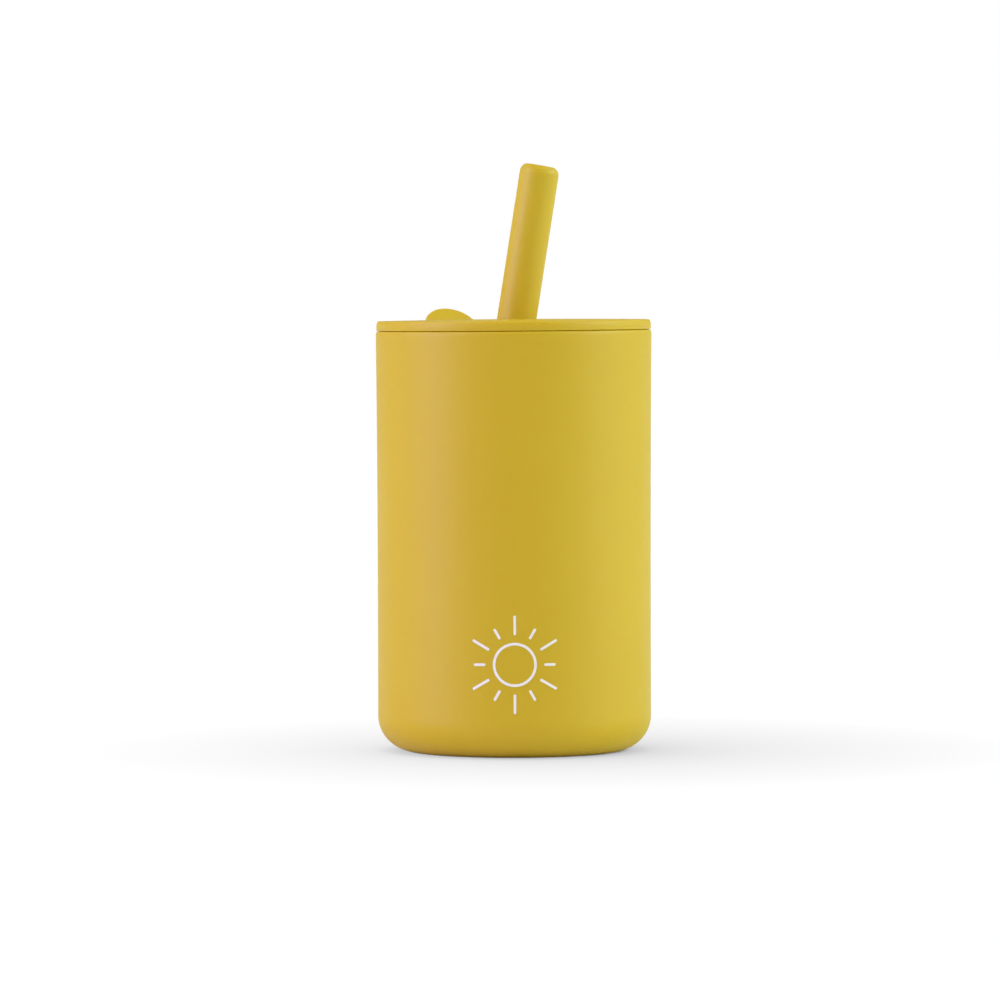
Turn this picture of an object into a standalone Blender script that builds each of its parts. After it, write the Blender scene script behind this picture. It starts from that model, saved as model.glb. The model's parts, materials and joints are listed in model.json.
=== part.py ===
"""A toddler's straw cup moulded in silicone: cup body, press-in lid, lift tab and leaning straw.

Metres, +Z up. The origin is the centre of the base, and the front of the cup faces -Y.
"""

import math

import bmesh
import bpy
from mathutils import Matrix, Vector

MM = 0.001

# Cup body
WAIST_RADIUS = 34.91 * MM
RIM_RADIUS = 35.22 * MM
CUP_HEIGHT = 107.35 * MM
BASE_FILLET = 9.46 * MM
RIM_ROUND = 1.2 * MM
INNER_RADIUS = 32.2 * MM
INNER_FILLET = 7.0 * MM
FLOOR = 3.5 * MM
INNER_RIM_ROUND = 0.8 * MM
FLARE_POWER = 4  # the wall keeps its waist radius for most of its height and opens near the rim

# Lid: a flat disc that rests on the rim, with a plug skirt below it
SEAT_GAP = 0.3 * MM
LID_RADIUS = 35.05 * MM
LID_THICKNESS = 2.5 * MM
LID_ROUND = 0.5 * MM
SKIRT_RADIUS = 31.2 * MM
SKIRT_WALL = 2.0 * MM
SKIRT_DEPTH = 9.0 * MM
SEAL_RADIUS = INNER_RADIUS - 0.3 * MM
SEAL_DROPS = (3.0 * MM, 6.0 * MM)  # below the lid's underside
SEAL_HALF_HEIGHT = 0.9 * MM
VENT_RADIUS = 0.75 * MM
VENT_PLACE = (-20.0 * MM, -6.0 * MM)

# Straw: a straight tube that leans to +X
STRAW_RADIUS = 5.0 * MM
STRAW_BORE = 3.5 * MM
STRAW_LEAN = math.radians(8.95)
STRAW_LIP_ROUND = 1.1 * MM
STRAW_AT_LID = 0.78 * MM  # where its axis crosses the lid's top, right of centre
STRAW_TIP = 149.4 * MM
STRAW_FOOT = 5.8 * MM
RUNNING_GAP = 0.3 * MM
SLEEVE_WALL = 2.0 * MM
SLEEVE_DEPTH = 8.0 * MM  # below the lid's underside, along the straw

# Lift tab: a round-ended tongue on the lid's edge, behind and to the left, curled up at its tip
TAB_BEARING = math.radians(26)  # from the +Y axis towards -X
TAB_THICKNESS = 2.0 * MM
TAB_ROOT_INSET = 1.0 * MM  # from the lid's edge in to the hinge axis
TAB_HALF_WIDTH = 7.0 * MM
TAB_NECK = 1.2 * MM  # straight sides past the lid's edge, before the round end
TAB_LENGTH = TAB_ROOT_INSET + TAB_NECK + TAB_HALF_WIDTH  # from the hinge axis, along the tongue
TAB_FLAT = 2.6 * MM  # from the hinge axis to where the curl starts
TAB_CURL_RADIUS = 4.0 * MM
TAB_CURL = math.radians(38)
TAB_GAP = 0.3 * MM

TURNED_SIDES = 72
STRAW_SIDES = 32
ARC_STEPS = 6

LID_BOTTOM = CUP_HEIGHT + SEAT_GAP
LID_TOP = LID_BOTTOM + LID_THICKNESS
STRAW_AXIS = Vector((math.sin(STRAW_LEAN), 0, math.cos(STRAW_LEAN)))
STRAW_CROSSING = Vector((STRAW_AT_LID, 0, LID_TOP))

MUSTARD = (0.552, 0.376, 0.030, 1)
STRAW_MUSTARD = (0.540, 0.361, 0.026, 1)


def arc(centre, radius, start, end, steps=ARC_STEPS):
    """Points on a round stretch of an outline, from one angle to another in degrees."""
    points = []
    for step in range(steps + 1):
        angle = math.radians(start + (end - start) * step / steps)
        points.append((centre[0] + radius * math.cos(angle), centre[1] + radius * math.sin(angle)))
    return points


def turned(outline, sides, closed=False):
    """A mesh turned about Z from (radius, height) points that run outwards below and up the outer side."""
    mesh = bmesh.new()
    rings = []
    for radius, height in outline:
        if radius < 1e-7:
            rings.append([mesh.verts.new((0, 0, height))] * sides)
            continue
        angles = [2 * math.pi * side / sides for side in range(sides)]
        rings.append([mesh.verts.new((radius * math.cos(a), radius * math.sin(a), height)) for a in angles])
    pairs = list(zip(rings, rings[1:]))
    if closed:
        pairs.append((rings[-1], rings[0]))
    for lower, upper in pairs:
        for side in range(sides):
            after = (side + 1) % sides
            corners = dict.fromkeys((lower[side], lower[after], upper[after], upper[side]))
            mesh.faces.new(corners)
    return mesh


def silicone(name, colour):
    """A plain matt silicone finish."""
    material = bpy.data.materials.new(name)
    material.use_nodes = True
    shader = material.node_tree.nodes["Principled BSDF"]
    shader.inputs["Base Color"].default_value = colour
    shader.inputs["Roughness"].default_value = 0.5
    shader.inputs["Metallic"].default_value = 0.0
    return material


def make_object(name, bm, colour=None, location=(0, 0, 0), turn=None):
    """An object from a bmesh; with no colour it is a cutter that the build leaves out."""
    mesh = bpy.data.meshes.new(name)
    bmesh.ops.triangulate(bm, faces=bm.faces)
    bm.to_mesh(mesh)
    bm.free()
    mesh.shade_smooth()
    mesh.set_sharp_from_angle(angle=math.radians(40))
    made = bpy.data.objects.new(name, mesh)
    bpy.context.scene.collection.objects.link(made)
    made.location = location
    if turn is not None:
        made.rotation_euler = turn
    if colour is None:
        made.hide_render = True
        made.display_type = "WIRE"
    else:
        mesh.materials.append(silicone(name, colour))
    return made


def boolean(target, helper, operation):
    """Joins or cuts a target with a helper object."""
    modifier = target.modifiers.new(f"{operation.lower()}_{helper.name}", "BOOLEAN")
    modifier.operation = operation
    modifier.solver = "EXACT"
    modifier.object = helper


def cup_radius(height):
    """Outer radius of the cup's wall at a height."""
    return WAIST_RADIUS + (RIM_RADIUS - WAIST_RADIUS) * (height / CUP_HEIGHT) ** FLARE_POWER


def cup_body():
    """The open cup: flat base, rounded foot, thick wall and rounded rim."""
    foot = arc((WAIST_RADIUS - BASE_FILLET, BASE_FILLET), BASE_FILLET, -90, 0)
    shoulder = CUP_HEIGHT - RIM_ROUND
    wall_steps = 6
    heights = [BASE_FILLET + (shoulder - BASE_FILLET) * step / wall_steps for step in range(1, wall_steps)]
    wall = [(cup_radius(height), height) for height in heights]
    rim = arc((RIM_RADIUS - RIM_ROUND, shoulder), RIM_ROUND, 0, 90)
    inner_lip = arc(
        (INNER_RADIUS + INNER_RIM_ROUND, CUP_HEIGHT - INNER_RIM_ROUND), INNER_RIM_ROUND, 90, 180
    )
    well = arc((INNER_RADIUS - INNER_FILLET, FLOOR + INNER_FILLET), INNER_FILLET, 0, -90)
    outline = [(0, 0)] + foot + wall + rim + inner_lip + well + [(0, FLOOR)]
    return make_object("cup_body", turned(outline, TURNED_SIDES), MUSTARD)


def seal_rib(drop):
    """Outline of one sealing rib round the skirt, running upwards."""
    height = LID_BOTTOM - drop
    return [
        (SKIRT_RADIUS, height - SEAL_HALF_HEIGHT),
        (SEAL_RADIUS, height - SEAL_HALF_HEIGHT / 4),
        (SEAL_RADIUS, height + SEAL_HALF_HEIGHT / 4),
        (SKIRT_RADIUS, height + SEAL_HALF_HEIGHT),
    ]


def straw_cylinder(name, radius, low, high):
    """A helper cylinder on the straw's axis, between two distances from where it crosses the lid's top."""
    outline = [(0, low), (radius, low), (radius, high), (0, high)]
    return make_object(name, turned(outline, STRAW_SIDES), None, STRAW_CROSSING, (0, STRAW_LEAN, 0))


def tab_directions():
    """Outward and sideways directions of the lift tab, and its hinge point on the lid's edge."""
    outward = Vector((-math.sin(TAB_BEARING), math.cos(TAB_BEARING), 0))
    sideways = Vector((outward.y, -outward.x, 0))
    hinge = outward * (LID_RADIUS - TAB_ROOT_INSET)
    hinge.z = (LID_BOTTOM + LID_TOP) / 2
    return outward, sideways, hinge


def lid():
    """The disc with its plug skirt, seal ribs, straw sleeve, vent and the pocket for the tab's root."""
    underside = [(0, LID_BOTTOM), (SKIRT_RADIUS - SKIRT_WALL, LID_BOTTOM)]
    skirt_foot = LID_BOTTOM - SKIRT_DEPTH
    skirt = [(SKIRT_RADIUS - SKIRT_WALL, skirt_foot), (SKIRT_RADIUS, skirt_foot)]
    for drop in sorted(SEAL_DROPS, reverse=True):
        skirt += seal_rib(drop)
    flange = [(SKIRT_RADIUS, LID_BOTTOM)]
    flange += arc((LID_RADIUS - LID_ROUND, LID_BOTTOM + LID_ROUND), LID_ROUND, -90, 0, 3)
    flange += arc((LID_RADIUS - LID_ROUND, LID_TOP - LID_ROUND), LID_ROUND, 0, 90, 3)
    outline = underside + skirt + flange + [(0, LID_TOP)]
    made = make_object("lid", turned(outline, TURNED_SIDES), MUSTARD)

    drop_to_disc_middle = (LID_TOP - LID_BOTTOM) / 2
    sleeve_end = LID_THICKNESS + SLEEVE_DEPTH
    bore_radius = STRAW_RADIUS + RUNNING_GAP
    sleeve = straw_cylinder("sleeve", bore_radius + SLEEVE_WALL, -sleeve_end, -drop_to_disc_middle)
    bore = straw_cylinder("bore", bore_radius, -2 * sleeve_end, sleeve_end)
    boolean(made, sleeve, "UNION")
    boolean(made, bore, "DIFFERENCE")

    vent_outline = [(0, -LID_THICKNESS), (VENT_RADIUS, -LID_THICKNESS), (VENT_RADIUS, LID_THICKNESS)]
    vent_outline.append((0, LID_THICKNESS))
    vent_at = (VENT_PLACE[0], VENT_PLACE[1], LID_TOP - LID_THICKNESS / 2)
    boolean(made, make_object("vent", turned(vent_outline, 12), None, vent_at), "DIFFERENCE")

    outward, _, hinge = tab_directions()
    depth = TAB_THICKNESS / 2 + TAB_GAP
    reach = 2 * TAB_ROOT_INSET
    pocket = bmesh.new()
    middle = hinge + outward * (reach - depth) / 2
    size = Matrix.Diagonal((2 * (TAB_HALF_WIDTH + TAB_GAP), reach + depth, 2 * LID_THICKNESS, 1))
    turn = Matrix.Rotation(TAB_BEARING, 4, "Z")
    bmesh.ops.create_cube(pocket, size=1, matrix=Matrix.Translation(middle) @ turn @ size)
    boolean(made, make_object("tab_pocket", pocket), "DIFFERENCE")
    return made


def tab_row(distance):
    """Centre (outward, up), slope and half-width of the tongue at a distance from its hinge axis."""
    bend_end = TAB_FLAT + TAB_CURL_RADIUS * TAB_CURL
    angle = min(max(distance - TAB_FLAT, 0) / TAB_CURL_RADIUS, TAB_CURL)
    out = min(distance, TAB_FLAT) + TAB_CURL_RADIUS * math.sin(angle)
    up = TAB_CURL_RADIUS * (1 - math.cos(angle))
    past = max(distance - bend_end, 0)
    out += past * math.cos(TAB_CURL)
    up += past * math.sin(TAB_CURL)
    into_end = max(distance - TAB_ROOT_INSET - TAB_NECK, 0)
    return out, up, angle, math.sqrt(TAB_HALF_WIDTH**2 - into_end**2)


def lift_tab():
    """The tongue, with a round root on its hinge axis and a half-round end."""
    outward, sideways, hinge = tab_directions()
    half = TAB_THICKNESS / 2
    rows = []
    for degrees in (75, 50, 25):
        angle = math.radians(degrees)
        rows.append((-half * math.sin(angle), 0, 0, TAB_HALF_WIDTH, half * math.cos(angle)))
    distances = [0, TAB_ROOT_INSET]
    round_steps = 10
    for step in range(round_steps + 1):
        share = math.sin(math.radians(80) * step / round_steps)
        distances.append(TAB_ROOT_INSET + TAB_NECK + TAB_HALF_WIDTH * share)
    for distance in distances:
        rows.append((*tab_row(distance), half))

    mesh = bmesh.new()
    columns = 8
    sheets = {1: [], -1: []}
    for out, up, slope, half_width, half_thick in rows:
        for face in sheets:
            out_here = out - face * half_thick * math.sin(slope)
            up_here = up + face * half_thick * math.cos(slope)
            line = []
            for column in range(columns + 1):
                across = half_width * (2 * column / columns - 1)
                place = outward * out_here + sideways * across + Vector((0, 0, up_here))
                line.append(mesh.verts.new(place))
            sheets[face].append(line)
    top, bottom = sheets[1], sheets[-1]
    last = len(rows) - 1
    for row in range(last):
        above, beyond = top[row], top[row + 1]
        below, below_beyond = bottom[row], bottom[row + 1]
        for column in range(columns):
            after = column + 1
            mesh.faces.new((above[column], above[after], beyond[after], beyond[column]))
            mesh.faces.new((below[column], below_beyond[column], below_beyond[after], below[after]))
        for side in (0, columns):
            mesh.faces.new((above[side], beyond[side], below_beyond[side], below[side]))
    for row in (0, last):
        for column in range(columns):
            after = column + 1
            mesh.faces.new((top[row][column], top[row][after], bottom[row][after], bottom[row][column]))
    bmesh.ops.recalc_face_normals(mesh, faces=mesh.faces)
    return make_object("lift_tab", mesh, MUSTARD, hinge)


def straw():
    """The drinking straw, standing on its foot with a small gap above the cup's floor."""
    start = (STRAW_FOOT - LID_TOP) / STRAW_AXIS.z
    length = (STRAW_TIP - STRAW_FOOT) / STRAW_AXIS.z
    edge = STRAW_LIP_ROUND
    inner_edge = (STRAW_RADIUS - STRAW_BORE) - edge
    outline = arc((STRAW_RADIUS - edge, edge), edge, -90, 0, 3)
    outline += arc((STRAW_RADIUS - edge, length - edge), edge, 0, 90, 3)
    outline += arc((STRAW_BORE + inner_edge, length - inner_edge), inner_edge, 90, 180, 2)[1:]
    outline += arc((STRAW_BORE + inner_edge, inner_edge), inner_edge, 180, 270, 2)[:-1]
    foot = STRAW_CROSSING + STRAW_AXIS * start
    return make_object(
        "straw", turned(outline, STRAW_SIDES, closed=True), STRAW_MUSTARD, foot, (0, STRAW_LEAN, 0)
    )


def build():
    """Clears the scene and makes every piece under one empty."""
    for old in list(bpy.data.objects):
        bpy.data.objects.remove(old)
    cup = bpy.data.objects.new("straw_cup", None)
    bpy.context.scene.collection.objects.link(cup)
    for piece in (cup_body(), lid(), lift_tab(), straw()):
        piece.parent = cup


build()
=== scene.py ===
# %% [markdown]
# # A toddler's straw cup in mustard silicone
#
# The whole cup is three soft mouldings: an open cup, a lid that plugs into its
# mouth, and a straw pushed through the lid at a lean. A small white motif is
# printed on the front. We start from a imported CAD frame, which already knows
# every size and every moving body, and make the fine surfaces around it.
#
# All lengths are in metres. Up is +Z, and the front of the cup faces -Y.

# %% Load the frame
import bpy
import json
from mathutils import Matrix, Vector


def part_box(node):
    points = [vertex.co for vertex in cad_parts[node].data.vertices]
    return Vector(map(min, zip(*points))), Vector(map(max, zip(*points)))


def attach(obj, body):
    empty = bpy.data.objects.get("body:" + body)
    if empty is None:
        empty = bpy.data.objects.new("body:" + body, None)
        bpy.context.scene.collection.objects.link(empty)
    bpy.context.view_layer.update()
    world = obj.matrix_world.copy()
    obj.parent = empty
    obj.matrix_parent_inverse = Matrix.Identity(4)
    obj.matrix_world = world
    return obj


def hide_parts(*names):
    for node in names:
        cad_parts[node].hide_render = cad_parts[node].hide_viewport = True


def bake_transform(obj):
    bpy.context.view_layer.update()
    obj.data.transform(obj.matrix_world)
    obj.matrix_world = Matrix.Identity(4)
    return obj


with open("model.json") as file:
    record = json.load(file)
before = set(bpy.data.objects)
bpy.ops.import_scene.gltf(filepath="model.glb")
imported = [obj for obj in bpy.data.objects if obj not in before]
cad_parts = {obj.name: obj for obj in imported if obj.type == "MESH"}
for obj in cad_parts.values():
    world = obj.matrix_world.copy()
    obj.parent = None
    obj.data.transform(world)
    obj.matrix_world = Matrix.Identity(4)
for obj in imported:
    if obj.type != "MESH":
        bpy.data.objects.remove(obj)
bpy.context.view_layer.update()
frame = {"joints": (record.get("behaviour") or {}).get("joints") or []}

# %% Blender's modules and one unit
import json
import math

import bmesh
import bpy
import numpy as np
from mathutils import Matrix, Vector

MM = 0.001

# %% [markdown]
# ## Where everything is
#
# The frame gives a box for each node and an axis for each joint, and nothing
# else is needed to place a piece. The straw is a straight tube, so the middle
# of its box lies on its axis, and the slide joint says which way it leans.

# %% Places read from the frame
joints = {joint["name"]: joint for joint in frame["joints"]}
cup_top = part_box("cup_body")[1].z
rim_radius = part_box("cup_body")[1].x
lid_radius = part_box("lid")[1].x
lid_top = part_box("lid")[1].z
lid_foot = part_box("lid")[0].z
straw_low, straw_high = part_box("straw")
straw_axis = Vector(joints["straw_slide"]["axis"]).normalized()
straw_middle = (straw_low + straw_high) / 2
straw_slope = straw_axis.x / straw_axis.z
tab_across = Vector(joints["tab_flex"]["axis"]).normalized()
tab_outward = Vector((-tab_across.y, tab_across.x, 0))
print(f"cup {2000 * rim_radius:.1f} mm across, {1000 * cup_top:.1f} mm tall")
print(f"straw leans {math.degrees(math.atan(straw_slope)):.2f} degrees")

# %% [markdown]
# ## The camera
#
# Something this small is best seen from about a metre and a half away through
# a long lens, so that the sides stay almost parallel. The lens sits just above
# the lid and tips down two degrees, which shows the lid's top as the thinnest
# sliver. The camera also stands a sixth of a degree off level.

# %% Camera
CAMERA_PLACE = Vector((-3.59, -1519.0, 118.9)) * MM
CAMERA_TIP = math.radians(90 - 2.07)
CAMERA_ROLL = math.radians(-0.155)
LENS = 214.06
SENSOR_WIDTH = 36
FAR_CLIP = 30

lens = bpy.data.cameras.new("long_lens")
lens.lens = LENS
lens.sensor_width = SENSOR_WIDTH
lens.clip_end = FAR_CLIP
camera = bpy.data.objects.new("camera", lens)
camera.location = CAMERA_PLACE
camera.rotation_euler = (
    Matrix.Rotation(CAMERA_TIP, 4, "X") @ Matrix.Rotation(CAMERA_ROLL, 4, "Z")
).to_euler()
bpy.context.scene.collection.objects.link(camera)
bpy.context.scene.camera = camera
bpy.context.scene.view_settings.view_transform = "Standard"
print("camera at", [round(x, 4) for x in camera.location])

# %% [markdown]
# ## The studio
#
# Matt silicone shows its lights as broad bands and not as glints. The bands
# come from two softboxes, one on each side and a little above the table, in a
# dim white room. The front gets the least light, so the middle of the cup is
# its darkest part. One world shader can hold all of that: each softbox is a
# direction, and its light falls off with a power of the angle from it. Lamps
# could do the same, but their edges would have to be softened one by one.
#
# The left box is a touch pink, and the right one is greener, as two tubes of
# different age are. A narrow cool strip low on the left adds the one pale sheen
# that runs down the cup. Rays straight from the camera to the backdrop see white.


# %% Shader helpers
def add_node(tree, kind, **settings):
    """A shader node with its properties and, by socket name, its input values."""
    node = tree.nodes.new(kind)
    for name, value in settings.items():
        if hasattr(node, name):
            setattr(node, name, value)
        else:
            node.inputs[name.replace("_", " ")].default_value = value
    return node


def reckon(tree, operation, first, second):
    """One sum in a shader: each side is a number or another node's output."""
    node = add_node(tree, "ShaderNodeMath", operation=operation)
    for socket, value in zip(node.inputs, (first, second)):
        if isinstance(value, (int, float)):
            socket.default_value = value
        else:
            tree.links.new(value, socket)
    return node.outputs["Value"]


# %% World: a dim white room
WHITE = (1, 1, 1, 1)
ROOM = (0.508, 0.483, 0.38, 1)

world = bpy.data.worlds.new("studio")
world.use_nodes = True
bpy.context.scene.world = world
studio = world.node_tree
studio.nodes.clear()
direction = add_node(studio, "ShaderNodeTexCoord").outputs["Generated"]
room = add_node(studio, "ShaderNodeBackground", Color=ROOM)


# %% World: two softboxes and a strip
def softbox(light_so_far, bearing, height, focus, colour):
    """Adds a soft light at a bearing from the camera's side and a height, both in degrees."""
    turn, rise = math.radians(bearing), math.radians(height)
    aim = (math.sin(turn) * math.cos(rise), -math.cos(turn) * math.cos(rise), math.sin(rise))
    towards = add_node(studio, "ShaderNodeVectorMath", operation="DOT_PRODUCT")
    towards.inputs[1].default_value = aim
    studio.links.new(direction, towards.inputs[0])
    facing = reckon(studio, "MAXIMUM", towards.outputs["Value"], 0)
    light = add_node(studio, "ShaderNodeBackground", Color=colour)
    studio.links.new(reckon(studio, "POWER", facing, focus), light.inputs["Strength"])
    both = add_node(studio, "ShaderNodeAddShader")
    studio.links.new(light_so_far, both.inputs[0])
    studio.links.new(light.outputs["Background"], both.inputs[1])
    return both.outputs["Shader"]


LEFT_BOX = (3.15, 3.05, 4.90, 1)
RIGHT_BOX = (3.22, 4.10, 4.00, 1)
LEFT_STRIP = (2.3, 2.5, 9.5, 1)
lights = softbox(room.outputs["Background"], bearing=-76, height=28, focus=10, colour=LEFT_BOX)
lights = softbox(lights, bearing=83, height=24, focus=9, colour=RIGHT_BOX)
lights = softbox(lights, bearing=-69, height=2, focus=60, colour=LEFT_STRIP)
backdrop = add_node(studio, "ShaderNodeBackground", Color=WHITE)
path = add_node(studio, "ShaderNodeLightPath")
choose = add_node(studio, "ShaderNodeMixShader")
studio.links.new(path.outputs["Is Camera Ray"], choose.inputs["Fac"])
studio.links.new(lights, choose.inputs[1])
studio.links.new(backdrop.outputs["Background"], choose.inputs[2])
out = add_node(studio, "ShaderNodeOutputWorld")
studio.links.new(choose.outputs["Shader"], out.inputs["Surface"])
print("studio nodes:", len(studio.nodes))

# %% [markdown]
# ## The floor
#
# A white table that fades into the backdrop with no horizon. To the other
# objects it is plain matt white. To the camera it glows white and darkens only
# where something near it covers the sky, which is what a contact shadow is. The
# sky leans a little to the left, the brighter side, so the shadow is deeper on
# the right. A shadow of real bounces would pick up the cup's yellow, and this
# one stays grey. Seen from below the table is clear, and it has a hole that the
# standing cup covers, so that the base can be lit and looked at too.

# %% Floor
FLOOR_RADIUS = 8.0
FLOOR_HOLE = 26.4 * MM
FLOOR_SIDES = 96
FLOOR_WHITE = (0.8, 0.8, 0.8, 1)
SHADOW_REACH = 0.11
SHADOW_SAMPLES = 24
SKY_LEAN = (-0.20, 0.0, 0.95)
OPEN_GLOW = 1.025
SHADOW_DEPTH = 0.50
SHADOW_CURVE = 0.76
CONTACT_COVER = 0.95
CONTACT_DROP = 0.45

corners, panels = [], []
for side in range(FLOOR_SIDES):
    turn = 2 * math.pi * side / FLOOR_SIDES
    for radius in (FLOOR_HOLE, FLOOR_RADIUS):
        corners.append((radius * math.cos(turn), radius * math.sin(turn), 0))
    after = (side + 1) % FLOOR_SIDES
    panels.append((2 * side, 2 * side + 1, 2 * after + 1, 2 * after))
floor_mesh = bpy.data.meshes.new("floor")
floor_mesh.from_pydata(corners, [], panels)
floor = bpy.data.objects.new("floor", floor_mesh)
bpy.context.scene.collection.objects.link(floor)

# %% Floor material
table = bpy.data.materials.new("white_table")
table.use_nodes = True
tree = table.node_tree
tree.nodes.clear()
open_sky = add_node(
    tree, "ShaderNodeAmbientOcclusion", samples=SHADOW_SAMPLES, Distance=SHADOW_REACH
)
sky_lean = add_node(tree, "ShaderNodeCombineXYZ", X=SKY_LEAN[0], Y=SKY_LEAN[1], Z=SKY_LEAN[2])
tree.links.new(sky_lean.outputs["Vector"], open_sky.inputs["Normal"])
covered = reckon(tree, "SUBTRACT", 1, open_sky.outputs["AO"])
soft = reckon(tree, "MULTIPLY", reckon(tree, "POWER", covered, SHADOW_CURVE), SHADOW_DEPTH)
contact = add_node(
    tree, "ShaderNodeMapRange", interpolation_type="SMOOTHSTEP",
    From_Min=CONTACT_COVER, From_Max=1, To_Min=0, To_Max=CONTACT_DROP,
)
tree.links.new(covered, contact.inputs["Value"])
shaded = reckon(tree, "SUBTRACT", OPEN_GLOW, soft)
strength = reckon(tree, "SUBTRACT", shaded, contact.outputs["Result"])
glow = add_node(tree, "ShaderNodeEmission", Color=WHITE)
tree.links.new(strength, glow.inputs["Strength"])
matt_white = add_node(tree, "ShaderNodeBsdfDiffuse", Color=FLOOR_WHITE)
path = add_node(tree, "ShaderNodeLightPath")
lit = add_node(tree, "ShaderNodeMixShader")
tree.links.new(path.outputs["Is Camera Ray"], lit.inputs["Fac"])
tree.links.new(matt_white.outputs["BSDF"], lit.inputs[1])
tree.links.new(glow.outputs["Emission"], lit.inputs[2])
clear = add_node(tree, "ShaderNodeBsdfTransparent")
which_side = add_node(tree, "ShaderNodeNewGeometry")
sided = add_node(tree, "ShaderNodeMixShader")
tree.links.new(which_side.outputs["Backfacing"], sided.inputs["Fac"])
tree.links.new(lit.outputs["Shader"], sided.inputs[1])
tree.links.new(clear.outputs["BSDF"], sided.inputs[2])
out = add_node(tree, "ShaderNodeOutputMaterial")
tree.links.new(sided.outputs["Shader"], out.inputs["Surface"])
floor_mesh.materials.append(table)
print("floor:", 2 * FLOOR_RADIUS, "m across")

# %% [markdown]
# ## Silicone
#
# Food silicone is coloured right through. Its mould is lightly blasted, so the
# skin is matt with a broad soft sheen, and a little light enters and comes out
# again nearby, which rounds every edge. Three noises do the work: a slow one
# for the faint drift in the pigment, a middle one that varies the roughness as
# handling does, and a fine one for the blasted skin.

# %% Silicone numbers
DRIFT_SCALE = 32.0
HANDLING_SCALE = 210.0
BLAST_SCALE = 3800.0
BLAST_DEPTH = 0.02 * MM
ROUGHNESS = (0.40, 0.50)
REFRACTION = 1.42
UNDER_SKIN_SHARE = 0.5
UNDER_SKIN_RADII = (1.0, 0.6, 0.1)
UNDER_SKIN_REACH = 1.0 * MM


# %% Silicone material
def silicone(name, light, deep, grain=0.12):
    """Matt pigmented silicone that drifts between two close colours."""
    material = bpy.data.materials.new(name)
    material.use_nodes = True
    tree = material.node_tree
    shader = tree.nodes["Principled BSDF"]
    place = add_node(tree, "ShaderNodeTexCoord").outputs["Object"]

    drift = add_node(tree, "ShaderNodeTexNoise", Scale=DRIFT_SCALE, Detail=2.0, Roughness=0.4)
    pigment = add_node(tree, "ShaderNodeMix", data_type="RGBA")
    pigment.inputs["A"].default_value = (*light, 1)
    pigment.inputs["B"].default_value = (*deep, 1)
    tree.links.new(place, drift.inputs["Vector"])
    tree.links.new(drift.outputs["Fac"], pigment.inputs["Factor"])
    tree.links.new(pigment.outputs["Result"], shader.inputs["Base Color"])

    handling = add_node(tree, "ShaderNodeTexNoise", Scale=HANDLING_SCALE, Detail=3.0)
    matt = add_node(tree, "ShaderNodeMapRange", To_Min=ROUGHNESS[0], To_Max=ROUGHNESS[1])
    tree.links.new(place, handling.inputs["Vector"])
    tree.links.new(handling.outputs["Fac"], matt.inputs["Value"])
    tree.links.new(matt.outputs["Result"], shader.inputs["Roughness"])

    blasted = add_node(tree, "ShaderNodeTexNoise", Scale=BLAST_SCALE, Detail=1.0)
    skin = add_node(tree, "ShaderNodeBump", Strength=grain, Distance=BLAST_DEPTH)
    tree.links.new(place, blasted.inputs["Vector"])
    tree.links.new(blasted.outputs["Fac"], skin.inputs["Height"])
    tree.links.new(skin.outputs["Normal"], shader.inputs["Normal"])

    shader.inputs["IOR"].default_value = REFRACTION
    shader.inputs["Subsurface Weight"].default_value = UNDER_SKIN_SHARE
    shader.inputs["Subsurface Radius"].default_value = UNDER_SKIN_RADII
    shader.inputs["Subsurface Scale"].default_value = UNDER_SKIN_REACH
    return material


MUSTARD = (0.650, 0.438, 0.012)
DEEP_MUSTARD = (0.630, 0.418, 0.010)
cup_silicone = silicone("cup_silicone", MUSTARD, DEEP_MUSTARD)
lid_silicone = silicone("lid_silicone", MUSTARD, DEEP_MUSTARD)
STRAW_MUSTARD = (0.638, 0.446, 0.013)
DEEP_STRAW_MUSTARD = (0.620, 0.428, 0.011)
straw_silicone = silicone("straw_silicone", STRAW_MUSTARD, DEEP_STRAW_MUSTARD, grain=0.08)
print("silicone mustard:", MUSTARD)

# %% [markdown]
# ## Turned shapes
#
# The cup and the straw are round, so each is one outline spun about an axis.
# The outline is a list of (radius, height) points. Its round stretches are
# worked out by `arc`, and `ease` makes the soft S-shaped steps.


# %% Outline helpers
def arc(centre, radii, start, end, steps=10):
    """Points on a round or elliptical stretch, between two angles in degrees."""
    angles = np.radians(np.linspace(start, end, steps + 1))
    return [
        (centre[0] + radii[0] * math.cos(a), centre[1] + radii[1] * math.sin(a)) for a in angles
    ]


def soft_step(values, start, end):
    """Rises smoothly from 0 to 1 as the values go from start to end."""
    share = np.clip((values - start) / (end - start), 0, 1)
    return share * share * (3 - 2 * share)


def ease(start, end, steps=8):
    """Points on a soft step from one (radius, height) to another."""
    points = []
    for share in np.linspace(0, 1, steps + 1):
        radius = start[0] + share * (end[0] - start[0])
        height = start[1] + soft_step(share, 0, 1) * (end[1] - start[1])
        points.append((radius, height))
    return points


def finish_mesh(name, mesh, material):
    """Turns a closed bmesh into a smooth object and prints whether it is closed."""
    bmesh.ops.remove_doubles(mesh, verts=mesh.verts, dist=1e-7)
    bmesh.ops.recalc_face_normals(mesh, faces=mesh.faces)
    open_edges = sum(not edge.is_manifold for edge in mesh.edges)
    print(f"{name}: {len(mesh.faces)} faces, {open_edges} open edges")
    data = bpy.data.meshes.new(name)
    mesh.to_mesh(data)
    mesh.free()
    data.shade_smooth()
    data.materials.append(material)
    made = bpy.data.objects.new(name, data)
    bpy.context.scene.collection.objects.link(made)
    return made


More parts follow.
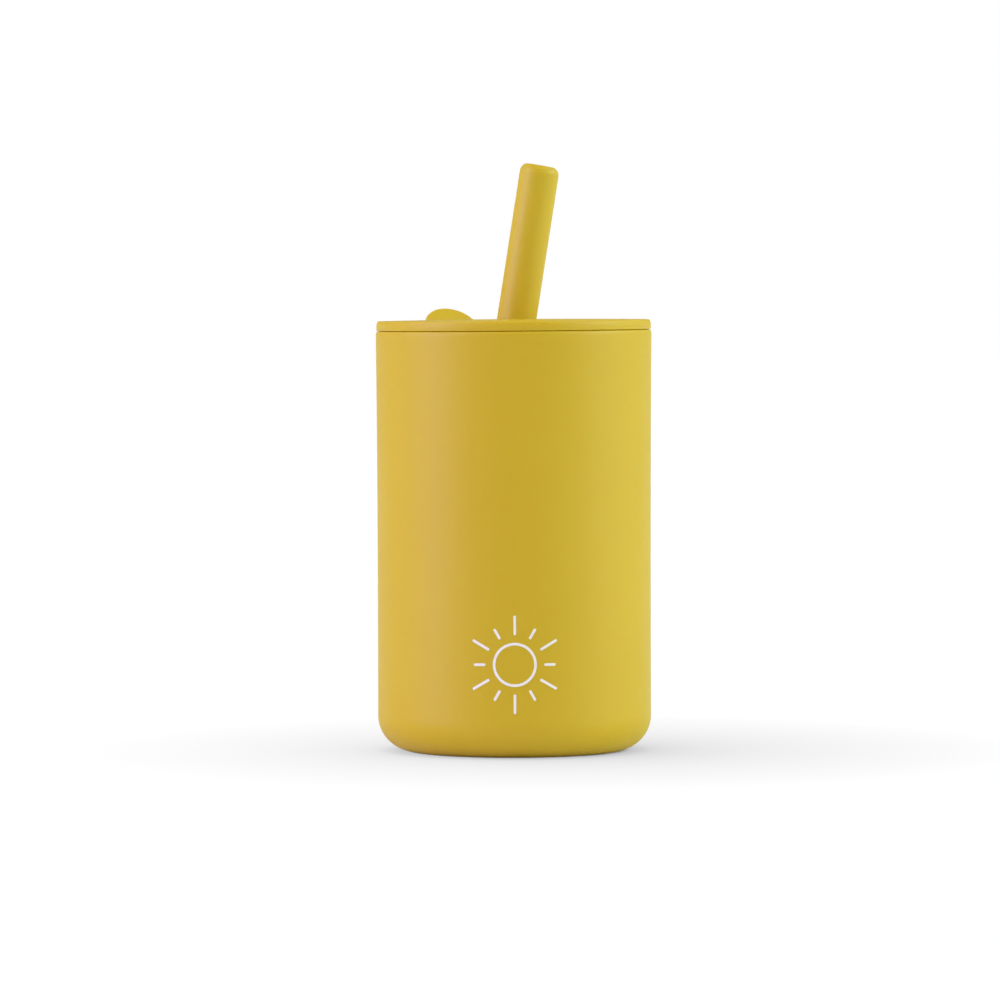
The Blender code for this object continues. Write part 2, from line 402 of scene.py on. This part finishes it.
def spun(name, outline, sides, material, closed=False):
    """An outline of (radius, height) points spun about Z."""
    mesh = bmesh.new()
    points = [mesh.verts.new((radius, 0, height)) for radius, height in outline]
    pairs = list(zip(points, points[1:]))
    if closed:
        pairs.append((points[-1], points[0]))
    edges = [mesh.edges.new(pair) for pair in pairs]
    bmesh.ops.spin(
        mesh, geom=points + edges, axis=(0, 0, 1), cent=(0, 0, 0),
        angle=2 * math.pi, steps=sides, use_merge=True,
    )
    return finish_mesh(name, mesh, material)


# %% [markdown]
# ## The cup
#
# The wall is almost straight: it is narrowest a third of the way up and opens
# by a third of a millimetre towards the rim. The foot is a generous round. At the
# top the outer edge rolls in gently where the lid's edge meets it. Below, the
# base has a shallow dished centre with a small gate mark, so that the cup
# stands on a ring and doesn't rock. The rim is not quite level: it climbs by
# 0.4 mm from left to right, and the lid on it follows.

# %% Cup sizes
WAIST_INSET = 0.32 * MM
WAIST_RADIUS = rim_radius - WAIST_INSET
WAIST_HEIGHT = 35 * MM
FLARE = 2.4
FOOT_ROUND = 9.1 * MM
LIP_ROLL = (0.5 * MM, 1.3 * MM)
INNER_RADIUS = 32.2 * MM
INNER_LIP = 0.8 * MM
WELL_ROUND = 7.0 * MM
WELL_FLOOR = 3.5 * MM
DISH_RADIUS = 20 * MM
DISH_DEPTH = 0.4 * MM
DISH_EDGE = 1.2 * MM
GATE_RADIUS = 1.8 * MM
GATE_EDGE = 0.4 * MM
GATE_HEIGHT = 0.6 * DISH_DEPTH
RIM_SLOPE = math.tan(math.radians(0.31))
SLOPE_START = 80 * MM


def wall_radius(height):
    """Outer radius of the cup's wall at a height."""
    from_waist = abs(height - WAIST_HEIGHT) / (cup_top - WAIST_HEIGHT)
    return WAIST_RADIUS + (rim_radius - WAIST_RADIUS) * from_waist**FLARE


# %% Cup outline, from the middle of the base out, up and down inside
gate = ease((GATE_RADIUS, GATE_HEIGHT), (GATE_RADIUS + GATE_EDGE, DISH_DEPTH), 4)
dish = ease((DISH_RADIUS - DISH_EDGE, DISH_DEPTH), (DISH_RADIUS, 0))
foot_centre = (wall_radius(FOOT_ROUND) - FOOT_ROUND, FOOT_ROUND)
foot = arc(foot_centre, (FOOT_ROUND, FOOT_ROUND), -90, 0, 28)
roll_height = cup_top - LIP_ROLL[1]
wall_heights = np.linspace(FOOT_ROUND, roll_height, 50)[1:-1]
wall = [(wall_radius(height), height) for height in wall_heights]
roll_centre = (wall_radius(roll_height) - LIP_ROLL[0], roll_height)
roll = arc(roll_centre, LIP_ROLL, 0, 90, 14)
inner_lip_centre = (INNER_RADIUS + INNER_LIP, cup_top - INNER_LIP)
inner_lip = arc(inner_lip_centre, (INNER_LIP, INNER_LIP), 90, 180, 8)
inner_wall = [(INNER_RADIUS, height) for height in np.linspace(cup_top - 2 * MM, 12 * MM, 24)]
well_centre = (INNER_RADIUS - WELL_ROUND, WELL_FLOOR + WELL_ROUND)
well = arc(well_centre, (WELL_ROUND, WELL_ROUND), 0, -90, 20)

cup_outline = [(0, GATE_HEIGHT), *gate, (0.9 * DISH_RADIUS, DISH_DEPTH), *dish]
cup_outline += [(foot_centre[0] - 0.5 * MM, 0), *foot, *wall, *roll]
cup_outline += [(roll_centre[0] - 0.3 * MM, cup_top), *inner_lip, *inner_wall, *well]
cup_outline += [(well_centre[0] - 0.5 * MM, WELL_FLOOR), (0, WELL_FLOOR)]

# %% The cup
cup_shell = spun("cup_shell", cup_outline, 288, cup_silicone)
for vertex in cup_shell.data.vertices:
    vertex.co.z += RIM_SLOPE * vertex.co.x * soft_step(vertex.co.z, SLOPE_START, cup_top)
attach(cup_shell, "cup")
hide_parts("cup_body")

# %% [markdown]
# ## The straw
#
# A plain tube that ends in a soft round lip, so that it is kind to gums. The
# lip is thicker than the wall, and narrows the hole a little. The tip is a
# degree off square, as tube cut with a knife is. The straw is spun upright, and
# one matrix then leans it and sets it on its axis.

# %% Straw sizes
STRAW_RADIUS = 5.0 * MM
STRAW_BORE = 3.5 * MM
FOOT_LIP = 1.1 * MM
FOOT_EDGE = 0.4 * MM
TIP_BORE = 3.0 * MM
TIP_LIP = (1.9 * MM, 2.2 * MM)
TIP_EDGE = 0.1 * MM
TIP_TAPER = (2 * MM, 7 * MM)
FOOT_TAPER = 2 * MM
CUT_SLOPE = math.tan(math.radians(1.0))
CUT_REACH = 8 * MM

level_height = straw_high.z - straw_low.z - 2 * (STRAW_RADIUS - FOOT_LIP) * straw_axis.x
straw_length = (level_height - 2 * FOOT_LIP * (1 - straw_axis.z)) / straw_axis.z
straw_foot, straw_tip = -straw_length / 2, straw_length / 2
print(f"straw {1000 * straw_length:.1f} mm long")

# %% Straw outline, up the outside and down the bore
straw_outline = arc((STRAW_RADIUS - FOOT_LIP, straw_foot + FOOT_LIP), (FOOT_LIP, FOOT_LIP), -90, 0)
outside = np.linspace(straw_foot, straw_tip, 62)[2:-2]
straw_outline += [(STRAW_RADIUS, height) for height in outside]
straw_outline += arc((STRAW_RADIUS - TIP_LIP[0], straw_tip - TIP_LIP[1]), TIP_LIP, 0, 90, 16)
tip_edge_centre = (TIP_BORE + TIP_EDGE, straw_tip - TIP_EDGE)
straw_outline += arc(tip_edge_centre, (TIP_EDGE, TIP_EDGE), 90, 180, 5)[1:]
for height in np.linspace(straw_tip - TIP_TAPER[0], straw_foot + FOOT_TAPER, 60):
    opened = soft_step(straw_tip - height, *TIP_TAPER)
    straw_outline.append((TIP_BORE + (STRAW_BORE - TIP_BORE) * opened, height))
foot_edge_centre = (STRAW_BORE + FOOT_EDGE, straw_foot + FOOT_EDGE)
straw_outline += arc(foot_edge_centre, (FOOT_EDGE, FOOT_EDGE), 180, 270, 5)[:-1]

# %% The straw
straw_tube = spun("straw_tube", straw_outline, 96, straw_silicone, closed=True)
for vertex in straw_tube.data.vertices:
    near_tip = soft_step(vertex.co.z, straw_tip - CUT_REACH, straw_tip)
    vertex.co.z -= CUT_SLOPE * vertex.co.x * near_tip
lean = Matrix.Rotation(math.atan(straw_slope), 4, "Y")
straw_tube.data.transform(Matrix.Translation(straw_middle) @ lean)
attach(straw_tube, "straw")
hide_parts("straw")

# %% [markdown]
# ## The lid and its lift tab
#
# On the real lid the disc, the plug skirt below it, the sleeve that holds the
# straw and the lift tab at the edge are one piece of silicone. To keep it one
# surface with no seams, it is built as a loft of closed rings. The rings start
# at the straw's hole, spread over the top to the edge, roll under, go down and
# up the skirt, and come back to the hole through the sleeve.
#
# First comes the lid's outline seen from above: a circle with a round-ended
# tongue, joined by small hollow fillets.

# %% Lid sizes
TONGUE_HALF_WIDTH = 7.1 * MM
TONGUE_NECK = 1.2 * MM
TONGUE_FILLET = 2.4 * MM


# %% Lid outline from above
def tongue_half():
    """Points and outward normals (across, out), from the rim to the tip on one side."""
    reach = TONGUE_HALF_WIDTH + TONGUE_FILLET
    fillet_out = math.sqrt((lid_radius + TONGUE_FILLET) ** 2 - reach**2)
    towards_middle = math.degrees(math.atan2(fillet_out, reach)) + 180
    points, normals = [], []
    for angle in np.radians(np.linspace(towards_middle, 180, 12)):
        ray = np.array((math.cos(angle), math.sin(angle)))
        points.append(np.array((reach, fillet_out)) + TONGUE_FILLET * ray)
        normals.append(-ray)
    for angle in np.radians(np.linspace(0, 90, 34)):
        ray = np.array((math.cos(angle), math.sin(angle)))
        points.append(np.array((0, lid_radius + TONGUE_NECK)) + TONGUE_HALF_WIDTH * ray)
        normals.append(ray)
    return points, normals


half_points, half_normals = tongue_half()
steps = np.linalg.norm(np.diff(half_points, axis=0), axis=1)
travelled = np.concatenate([[0], np.cumsum(steps)])
root_angle = math.atan2(half_points[0][0], half_points[0][1])
half_spread = root_angle * (1 - travelled / travelled[-1])

rim_spread = np.linspace(root_angle, 2 * math.pi - root_angle, 232)[1:-1]
rim_rays = np.column_stack([np.sin(rim_spread), np.cos(rim_spread)])
flip = np.array((-1, 1))
outline = np.vstack([half_points[::-1], lid_radius * rim_rays, flip * half_points[:-1]])
normals = np.vstack([half_normals[::-1], rim_rays, flip * half_normals[:-1]])
spread = np.concatenate([half_spread[::-1], rim_spread, 2 * math.pi - half_spread[:-1]])
print(f"{len(outline)} points round the lid, tongue {1000 * travelled[-1]:.1f} mm along each side")

# %% Turn the outline to the tab's bearing
plan_axes = np.array([tab_across[:2], tab_outward[:2]])
outline = outline @ plan_axes
normals = normals @ plan_axes
rays = np.column_stack([np.sin(spread), np.cos(spread)]) @ plan_axes

# %% [markdown]
# Now the rings themselves. Each is the same number of points at one height:
# a circle about the lid's middle, an ellipse where a level plane cuts a tube
# round the leaning straw, or the outline moved in by a small inset.

# %% Ring helpers
straw_lean_cos = straw_axis.z


def level(plan, height):
    """A ring of (x, y) points at one height."""
    return np.column_stack([plan, np.full(len(plan), height)])


def circle(radius):
    return radius * rays


def round_straw(radius, height):
    """The ring round the straw's axis at a height."""
    middle = straw_middle.x + (height - straw_middle.z) * straw_slope
    return radius * rays * (1 / straw_lean_cos, 1) + (middle, 0)


def inset(distance):
    return outline - distance * normals


def between(first, second, share):
    return (1 - share) * first + share * second


# %% Lid rings: hole, top and edge
SEAT = 0.03 * MM
TOP_EDGE = (0.6 * MM, 1.5 * MM)
LOW_EDGE = 0.3 * MM
BORE = STRAW_RADIUS + 0.05 * MM
BORE_LIP = 0.5 * MM
FLANGE_START = 33.2 * MM

lid_bottom = cup_top + SEAT
rings = []
for radius, height in arc((BORE + BORE_LIP, lid_top - BORE_LIP), (BORE_LIP, BORE_LIP), 180, 90, 6):
    rings.append(level(round_straw(radius, height), height))
hole = round_straw(BORE + BORE_LIP, lid_top)
for share in (0.03, 0.1, 0.3, 0.6, 0.9, 1):
    rings.append(level(between(hole, circle(FLANGE_START), share), lid_top))
for share in np.linspace(0, 1, 25)[1:]:
    rings.append(level(between(circle(FLANGE_START), inset(TOP_EDGE[0]), share), lid_top))
for back, height in arc((TOP_EDGE[0], lid_top - TOP_EDGE[1]), TOP_EDGE, 90, 180, 10)[1:]:
    rings.append(level(inset(back), height))
for back, height in arc((LOW_EDGE, lid_bottom + LOW_EDGE), (LOW_EDGE, LOW_EDGE), 180, 270, 6):
    rings.append(level(inset(back), height))
for share in np.linspace(1, 0, 25)[1:]:
    rings.append(level(between(circle(FLANGE_START), inset(LOW_EDGE), share), lid_bottom))
print(len(rings), "rings so far")

# %% [markdown]
# The plug skirt carries two soft ribs that squeeze against the cup's wall.
# Nobody sees them until the lid comes off. The sleeve hugs the straw and holds
# its lean.

# %% Lid rings: skirt and sleeve
SKIRT_RADIUS = 31.2 * MM
SKIRT_WALL = 2.0 * MM
SKIRT_DEPTH = 9.0 * MM
SKIRT_FILLET = 0.6 * MM
RIB_HEIGHT = 0.8 * MM
RIB_DROPS = (3.0 * MM, 6.0 * MM)
RIB_SOFTNESS = 0.6 * MM
SLEEVE_RADIUS = BORE + 2.2 * MM
SLEEVE_FILLET = 1.2 * MM
SLEEVE_EDGE = 0.7 * MM
SLEEVE_FOOT_RISE = 0.5 * MM


def skirt_radius(drop):
    """Outer radius of the skirt, with its ribs, at a depth below the lid's underside."""
    ribs = sum(math.exp(-(((drop - rib) / RIB_SOFTNESS) ** 2)) for rib in RIB_DROPS)
    return SKIRT_RADIUS + RIB_HEIGHT * ribs


skirt_foot = lid_bottom - SKIRT_DEPTH
fillet = (SKIRT_FILLET, SKIRT_FILLET)
outer_corner = (SKIRT_RADIUS + SKIRT_FILLET, lid_bottom - SKIRT_FILLET)
inner_corner = (SKIRT_RADIUS - SKIRT_WALL - SKIRT_FILLET, lid_bottom - SKIRT_FILLET)
turned_part = arc(outer_corner, fillet, 90, 180, 6)
for drop in np.linspace(SKIRT_FILLET, SKIRT_DEPTH - SKIRT_FILLET, 48)[1:-1]:
    turned_part.append((skirt_radius(drop), lid_bottom - drop))
turned_part += arc((SKIRT_RADIUS - SKIRT_FILLET, skirt_foot + SKIRT_FILLET), fillet, 0, -90, 6)
inner_foot = (SKIRT_RADIUS - SKIRT_WALL + SKIRT_FILLET, skirt_foot + SKIRT_FILLET)
turned_part += arc(inner_foot, fillet, 270, 180, 6)
turned_part += arc(inner_corner, fillet, 0, 90, 6)
for radius, height in turned_part:
    rings.append(level(circle(radius), height))

sleeve_foot = lid_foot + SLEEVE_FOOT_RISE
sleeve_root = round_straw(SLEEVE_RADIUS + SLEEVE_FILLET, lid_bottom)
for share in (0.1, 0.4, 0.7, 0.95, 1):
    rings.append(level(between(circle(inner_corner[0]), sleeve_root, share), lid_bottom))
sleeve = arc(
    (SLEEVE_RADIUS + SLEEVE_FILLET, lid_bottom - SLEEVE_FILLET),
    (SLEEVE_FILLET, SLEEVE_FILLET), 90, 180, 8,
)[1:]
edge = (SLEEVE_EDGE, SLEEVE_EDGE)
sleeve += arc((SLEEVE_RADIUS - SLEEVE_EDGE, sleeve_foot + SLEEVE_EDGE), edge, 0, -90, 6)
sleeve += arc((BORE + SLEEVE_EDGE, sleeve_foot + SLEEVE_EDGE), edge, 270, 180, 6)
for radius, height in sleeve:
    rings.append(level(round_straw(radius, height), height))
rings = np.array(rings)
print(rings.shape[0], "rings of", rings.shape[1], "points")

# %% [markdown]
# ### Crown, seat and curl
#
# A disc of soft silicone is never quite flat. The top crowns by 0.3 mm, its
# rim sits a little lower than the design, and the whole lid
# follows the slope of the cup's rim. The underside lies on the cup only inside
# the edge, and lifts a hair outside it, so the seam between the two is a fine
# dark groove.
#
# The tongue gets thinner past the rim, by raising its underside. Everything
# beyond a bend line is then wrapped round a small cylinder and carries
# straight on. Nothing else on the lid reaches that line, so the same sum can
# run on every point.

# %% Crown and seat
CROWN = 0.30 * MM
RIM_SAG = 0.24 * MM
EDGE_LIFT = 0.07 * MM
SEAT_EDGE = (33.5 * MM, 34.6 * MM)

from_middle = np.linalg.norm(rings[..., :2], axis=-1)
upward = np.clip((rings[..., 2] - lid_bottom) / (lid_top - lid_bottom), 0, 1)
crown = CROWN * np.clip(1 - (from_middle / lid_radius) ** 2, 0, 1)
slope = RIM_SLOPE * rings[..., 0]
on_flange = rings[..., 2] > lid_bottom - 0.5 * LOW_EDGE
over_seat = np.where(on_flange, soft_step(from_middle, *SEAT_EDGE), 0)
settle = slope + upward * (crown - RIM_SAG) + (1 - upward) * over_seat * EDGE_LIFT
print(f"lid settles by {1000 * settle.min():.2f} to {1000 * settle.max():.2f} mm")

# %% Thin and curl the tongue
TONGUE_THINNING = 0.5 * MM
THINNING_LENGTH = 2.0 * MM
CURL_START = 1.1 * MM
CURL_RADIUS = 4.0 * MM
CURL = math.radians(37)

out_along = rings[..., :2] @ np.array(tab_outward[:2])
middle_height = (lid_top + lid_bottom) / 2
below_middle = rings[..., 2] < middle_height
thinner = TONGUE_THINNING * soft_step(out_along, lid_radius, lid_radius + THINNING_LENGTH)
rings[..., 2] += np.where(below_middle, thinner, 0)

past = out_along - lid_radius - CURL_START
curled = past > 0
angle = np.clip(past / CURL_RADIUS, 0, CURL)
straight = np.clip(past - CURL_RADIUS * CURL, 0, None)
offset = rings[..., 2] - middle_height
new_out = CURL_RADIUS * np.sin(angle) + straight * np.cos(angle) - offset * np.sin(angle)
new_up = CURL_RADIUS * (1 - np.cos(angle)) + straight * np.sin(angle) + offset * np.cos(angle)
shift = np.where(curled, new_out - past, 0)
rings[..., :2] += shift[..., None] * np.array(tab_outward[:2])
rings[..., 2] = np.where(curled, middle_height + new_up, rings[..., 2]) + settle
print(f"tab tip {1000 * (rings[..., 2].max() - lid_top):.1f} mm above the lid")

# %% Skin the rings
ring_count, around = rings.shape[:2]
lid_mesh = bmesh.new()
grid = [[lid_mesh.verts.new(point) for point in ring] for ring in rings]
for ring in range(ring_count):
    here, beyond = grid[ring], grid[(ring + 1) % ring_count]
    for point in range(around):
        after = (point + 1) % around
        lid_mesh.faces.new((here[point], here[after], beyond[after], beyond[point]))
lid_and_tab = finish_mesh("lid_and_tab", lid_mesh, lid_silicone)

# %% [markdown]
# ### The vent
#
# A sealed cup would not let a child draw a drink, so a small hole in the lid
# lets air in. It is cut with a Boolean by a spun cutter with a slight
# countersink.

# %% Vent
VENT_RADIUS = 0.75 * MM
VENT_PLACE = Vector((-20 * MM, -6 * MM, lid_top))
VENT_DEPTH = 4 * MM
COUNTERSINK = 0.5 * MM
COUNTERSINK_TOP = 0.1 * MM
CUTTER_TOP = 1 * MM

wide = VENT_RADIUS + COUNTERSINK
vent_outline = [(0, -VENT_DEPTH), (VENT_RADIUS, -VENT_DEPTH), (VENT_RADIUS, -COUNTERSINK)]
vent_outline += [(wide, COUNTERSINK_TOP), (wide, CUTTER_TOP), (0, CUTTER_TOP)]
vent = spun("vent_cutter", vent_outline, 32, lid_silicone)
vent.data.transform(Matrix.Translation(VENT_PLACE))
cut = lid_and_tab.modifiers.new("vent", "BOOLEAN")
cut.operation = "DIFFERENCE"
cut.object = vent
bpy.context.view_layer.update()
evaluated = lid_and_tab.evaluated_get(bpy.context.evaluated_depsgraph_get())
vented = bpy.data.meshes.new_from_object(evaluated)
lid_and_tab.modifiers.clear()
lid_and_tab.data = vented
vented.set_sharp_from_angle(angle=math.radians(40))
bpy.data.objects.remove(vent)
print("lid faces after the vent:", len(vented.polygons))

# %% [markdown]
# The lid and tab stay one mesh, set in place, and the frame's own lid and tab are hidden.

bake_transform(lid_and_tab)
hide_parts("lid", "lift_tab")

# %% [markdown]
# ## The printed motif
#
# The front carries a small one-colour print in white ink. Here it is a plain
# sun: a ring and short rays. Screen ink is a film a few hundredths of a
# millimetre thick, so every stroke is a thin closed ribbon laid on the wall.


# %% Motif helpers
INK_SINK = 0.03 * MM
INK_RAISE = 0.06 * MM
MOTIF_HEIGHT = 24.0 * MM
STROKE = 0.68 * MM


def on_wall(across, up, lift):
    """The point on the cup's front at a distance across and above the motif's middle."""
    radius = wall_radius(MOTIF_HEIGHT + up) + lift
    turn = across / radius
    return (radius * math.sin(turn), -radius * math.cos(turn), MOTIF_HEIGHT + up)


def stroke(mesh, middles, sides, half_widths, closed):
    """A ribbon of ink along flat points, with the direction and half-width of its sides."""
    stations = []
    for (x, y), (side_x, side_y), half_width in zip(middles, sides, half_widths):
        corners = []
        for sign, lift in ((-1, -INK_SINK), (-1, INK_RAISE), (1, INK_RAISE), (1, -INK_SINK)):
            offset = sign * half_width
            corners.append(mesh.verts.new(on_wall(x + offset * side_x, y + offset * side_y, lift)))
        stations.append(corners)
    pairs = list(zip(stations, stations[1:]))
    if closed:
        pairs.append((stations[-1], stations[0]))
    for here, beyond in pairs:
        for corner in range(4):
            after = (corner + 1) % 4
            mesh.faces.new((here[corner], here[after], beyond[after], beyond[corner]))
    if not closed:
        mesh.faces.new(stations[0])
        mesh.faces.new(stations[-1])


# %% Motif strokes
RING_RADIUS = 5.2 * MM
RAY_COUNT = 12
RAY_START = 7.4 * MM
RAY_ENDS = (12.35 * MM, 10.4 * MM)

cap = STROKE / 2
motif_mesh = bmesh.new()
turns = np.linspace(0, 2 * math.pi, 97)[:-1]
ring_rays = [(math.cos(a), math.sin(a)) for a in turns]
ring_middles = [(RING_RADIUS * x, RING_RADIUS * y) for x, y in ring_rays]
stroke(motif_mesh, ring_middles, ring_rays, [cap] * len(turns), closed=True)
for ray in range(RAY_COUNT):
    bearing = math.pi / 2 + 2 * math.pi * ray / RAY_COUNT
    along = np.array((math.cos(bearing), math.sin(bearing)))
    across = (-along[1], along[0])
    length = RAY_ENDS[ray % 2] - RAY_START
    ends = cap * (1 - np.cos(np.radians(np.linspace(12, 90, 7))))
    straight_part = np.linspace(cap, length - cap, 7)[1:-1]
    distances = np.concatenate([ends, straight_part, length - ends[::-1]])
    widths = []
    for distance in distances:
        into_cap = max(cap - distance, distance - length + cap, 0)
        widths.append(math.sqrt(cap**2 - into_cap**2))
    middles = [tuple((RAY_START + distance) * along) for distance in distances]
    stroke(motif_mesh, middles, [across] * len(middles), widths, closed=False)

# %% White ink
INK_WHITE = (0.93, 0.86, 0.82, 1)
INK_SHADE = (0.88, 0.79, 0.74, 1)
MOTTLE_SCALE = 1400.0
INK_ROUGHNESS = 0.6

ink = bpy.data.materials.new("white_print")
ink.use_nodes = True
ink_tree = ink.node_tree
ink_shader = ink_tree.nodes["Principled BSDF"]
ink_place = add_node(ink_tree, "ShaderNodeTexCoord").outputs["Object"]
mottle = add_node(ink_tree, "ShaderNodeTexNoise", Scale=MOTTLE_SCALE, Detail=3.0)
cover = add_node(ink_tree, "ShaderNodeMix", data_type="RGBA")
cover.inputs["A"].default_value = INK_WHITE
cover.inputs["B"].default_value = INK_SHADE
ink_tree.links.new(ink_place, mottle.inputs["Vector"])
ink_tree.links.new(mottle.outputs["Fac"], cover.inputs["Factor"])
ink_tree.links.new(cover.outputs["Result"], ink_shader.inputs["Base Color"])
ink_shader.inputs["Roughness"].default_value = INK_ROUGHNESS

sun_print = finish_mesh("sun_print", motif_mesh, ink)
sun_print.data.set_sharp_from_angle(angle=math.radians(50))
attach(sun_print, "cup")
